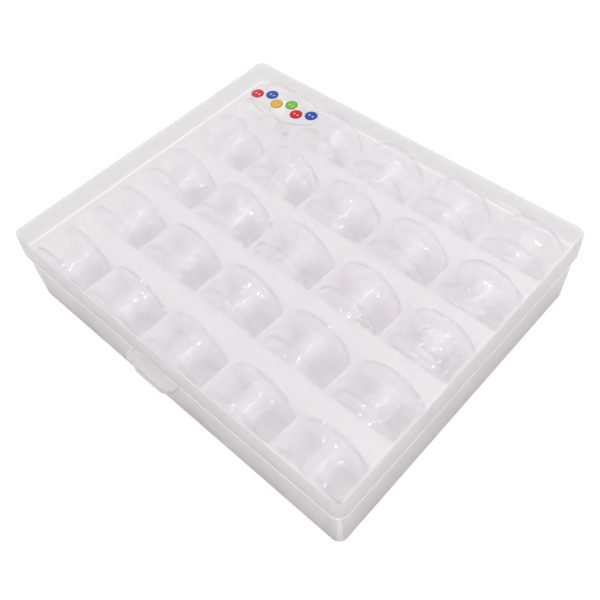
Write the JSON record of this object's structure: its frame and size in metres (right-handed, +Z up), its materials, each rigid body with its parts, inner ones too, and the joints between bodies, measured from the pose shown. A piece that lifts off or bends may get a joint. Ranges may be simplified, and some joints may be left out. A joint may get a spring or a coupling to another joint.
{
  "type": "bobbin storage box",
  "caption": "Shallow hinged box of milky clear plastic; its tray holds rows of clear sewing-machine bobbins on edge in half-round pockets, under a snap lid.",
  "frame": {"origin": "middle of the bounding box, at the height of the surface the box stands on", "axes": "+X along the long sides, +Y from the thumb tab at the front to the hinges at the back, +Z up"},
  "size_m": [0.1222, 0.108, 0.0264],
  "materials": {
    "tray_polypropylene": "milky translucent polypropylene, satin",
    "lid_polypropylene": "thin milky clear polypropylene, semi-gloss",
    "label_film": "clear adhesive film",
    "bobbin_clear": "crystal clear polystyrene, polished"
  },
  "bodies": {
    "tray": {"base_tray": "tray_polypropylene"},
    "lid": {"lid": "lid_polypropylene", "label_film": "label_film"},
    "bobbin_r1_c1": {"bobbin_r1_c1": "bobbin_clear"},
    "bobbin_r1_c2": {"bobbin_r1_c2": "bobbin_clear"},
    "bobbin_r1_c3": {"bobbin_r1_c3": "bobbin_clear"},
    "bobbin_r1_c4": {"bobbin_r1_c4": "bobbin_clear"},
    "bobbin_r1_c5": {"bobbin_r1_c5": "bobbin_clear"},
    "bobbin_r2_c1": {"bobbin_r2_c1": "bobbin_clear"},
    "bobbin_r2_c2": {"bobbin_r2_c2": "bobbin_clear"},
    "bobbin_r2_c3": {"bobbin_r2_c3": "bobbin_clear"},
    "bobbin_r2_c4": {"bobbin_r2_c4": "bobbin_clear"},
    "bobbin_r2_c5": {"bobbin_r2_c5": "bobbin_clear"},
    "bobbin_r3_c1": {"bobbin_r3_c1": "bobbin_clear"},
    "bobbin_r3_c2": {"bobbin_r3_c2": "bobbin_clear"},
    "bobbin_r3_c3": {"bobbin_r3_c3": "bobbin_clear"},
    "bobbin_r3_c4": {"bobbin_r3_c4": "bobbin_clear"},
    "bobbin_r3_c5": {"bobbin_r3_c5": "bobbin_clear"},
    "bobbin_r4_c1": {"bobbin_r4_c1": "bobbin_clear"},
    "bobbin_r4_c2": {"bobbin_r4_c2": "bobbin_clear"},
    "bobbin_r4_c3": {"bobbin_r4_c3": "bobbin_clear"},
    "bobbin_r4_c4": {"bobbin_r4_c4": "bobbin_clear"},
    "bobbin_r4_c5": {"bobbin_r4_c5": "bobbin_clear"},
    "bobbin_r5_c1": {"bobbin_r5_c1": "bobbin_clear"},
    "bobbin_r5_c2": {"bobbin_r5_c2": "bobbin_clear"},
    "bobbin_r5_c3": {"bobbin_r5_c3": "bobbin_clear"},
    "bobbin_r5_c4": {"bobbin_r5_c4": "bobbin_clear"},
    "bobbin_r5_c5": {"bobbin_r5_c5": "bobbin_clear"}
  },
  "joints": [
    {"name": "lid_hinge", "type": "hinge", "parent": "tray", "child": "lid", "pos_m": [0, 0.05237, 0.0158], "axis": [-1, 0, 0], "range_deg": [0, 180]},
    {"name": "bobbin_spin_r1_c1", "type": "hinge", "parent": "tray", "child": "bobbin_r1_c1", "pos_m": [-0.048, -0.042, 0.0135], "axis": [0, 1, 0], "continuous": true},
    {"name": "bobbin_spin_r1_c2", "type": "hinge", "parent": "tray", "child": "bobbin_r1_c2", "pos_m": [-0.024, -0.042, 0.0135], "axis": [0, 1, 0], "continuous": true},
    {"name": "bobbin_spin_r1_c3", "type": "hinge", "parent": "tray", "child": "bobbin_r1_c3", "pos_m": [0, -0.042, 0.0135], "axis": [0, 1, 0], "continuous": true},
    {"name": "bobbin_spin_r1_c4", "type": "hinge", "parent": "tray", "child": "bobbin_r1_c4", "pos_m": [0.024, -0.042, 0.0135], "axis": [0, 1, 0], "continuous": true},
    {"name": "bobbin_spin_r1_c5", "type": "hinge", "parent": "tray", "child": "bobbin_r1_c5", "pos_m": [0.048, -0.042, 0.0135], "axis": [0, 1, 0], "continuous": true},
    {"name": "bobbin_spin_r2_c1", "type": "hinge", "parent": "tray", "child": "bobbin_r2_c1", "pos_m": [-0.048, -0.021, 0.0135], "axis": [0, 1, 0], "continuous": true},
    {"name": "bobbin_spin_r2_c2", "type": "hinge", "parent": "tray", "child": "bobbin_r2_c2", "pos_m": [-0.024, -0.021, 0.0135], "axis": [0, 1, 0], "continuous": true},
    {"name": "bobbin_spin_r2_c3", "type": "hinge", "parent": "tray", "child": "bobbin_r2_c3", "pos_m": [0, -0.021, 0.0135], "axis": [0, 1, 0], "continuous": true},
    {"name": "bobbin_spin_r2_c4", "type": "hinge", "parent": "tray", "child": "bobbin_r2_c4", "pos_m": [0.024, -0.021, 0.0135], "axis": [0, 1, 0], "continuous": true},
    {"name": "bobbin_spin_r2_c5", "type": "hinge", "parent": "tray", "child": "bobbin_r2_c5", "pos_m": [0.048, -0.021, 0.0135], "axis": [0, 1, 0], "continuous": true},
    {"name": "bobbin_spin_r3_c1", "type": "hinge", "parent": "tray", "child": "bobbin_r3_c1", "pos_m": [-0.048, 0, 0.0135], "axis": [0, 1, 0], "continuous": true},
    {"name": "bobbin_spin_r3_c2", "type": "hinge", "parent": "tray", "child": "bobbin_r3_c2", "pos_m": [-0.024, 0, 0.0135], "axis": [0, 1, 0], "continuous": true},
    {"name": "bobbin_spin_r3_c3", "type": "hinge", "parent": "tray", "child": "bobbin_r3_c3", "pos_m": [0, 0, 0.0135], "axis": [0, 1, 0], "continuous": true},
    {"name": "bobbin_spin_r3_c4", "type": "hinge", "parent": "tray", "child": "bobbin_r3_c4", "pos_m": [0.024, 0, 0.0135], "axis": [0, 1, 0], "continuous": true},
    {"name": "bobbin_spin_r3_c5", "type": "hinge", "parent": "tray", "child": "bobbin_r3_c5", "pos_m": [0.048, 0, 0.0135], "axis": [0, 1, 0], "continuous": true},
    {"name": "bobbin_spin_r4_c1", "type": "hinge", "parent": "tray", "child": "bobbin_r4_c1", "pos_m": [-0.048, 0.021, 0.0135], "axis": [0, 1, 0], "continuous": true},
    {"name": "bobbin_spin_r4_c2", "type": "hinge", "parent": "tray", "child": "bobbin_r4_c2", "pos_m": [-0.024, 0.021, 0.0135], "axis": [0, 1, 0], "continuous": true},
    {"name": "bobbin_spin_r4_c3", "type": "hinge", "parent": "tray", "child": "bobbin_r4_c3", "pos_m": [0, 0.021, 0.0135], "axis": [0, 1, 0], "continuous": true},
    {"name": "bobbin_spin_r4_c4", "type": "hinge", "parent": "tray", "child": "bobbin_r4_c4", "pos_m": [0.024, 0.021, 0.0135], "axis": [0, 1, 0], "continuous": true},
    {"name": "bobbin_spin_r4_c5", "type": "hinge", "parent": "tray", "child": "bobbin_r4_c5", "pos_m": [0.048, 0.021, 0.0135], "axis": [0, 1, 0], "continuous": true},
    {"name": "bobbin_spin_r5_c1", "type": "hinge", "parent": "tray", "child": "bobbin_r5_c1", "pos_m": [-0.048, 0.042, 0.0135], "axis": [0, 1, 0], "continuous": true},
    {"name": "bobbin_spin_r5_c2", "type": "hinge", "parent": "tray", "child": "bobbin_r5_c2", "pos_m": [-0.024, 0.042, 0.0135], "axis": [0, 1, 0], "continuous": true},
    {"name": "bobbin_spin_r5_c3", "type": "hinge", "parent": "tray", "child": "bobbin_r5_c3", "pos_m": [0, 0.042, 0.0135], "axis": [0, 1, 0], "continuous": true},
    {"name": "bobbin_spin_r5_c4", "type": "hinge", "parent": "tray", "child": "bobbin_r5_c4", "pos_m": [0.024, 0.042, 0.0135], "axis": [0, 1, 0], "continuous": true},
    {"name": "bobbin_spin_r5_c5", "type": "hinge", "parent": "tray", "child": "bobbin_r5_c5", "pos_m": [0.048, 0.042, 0.0135], "axis": [0, 1, 0], "continuous": true}
  ]
}
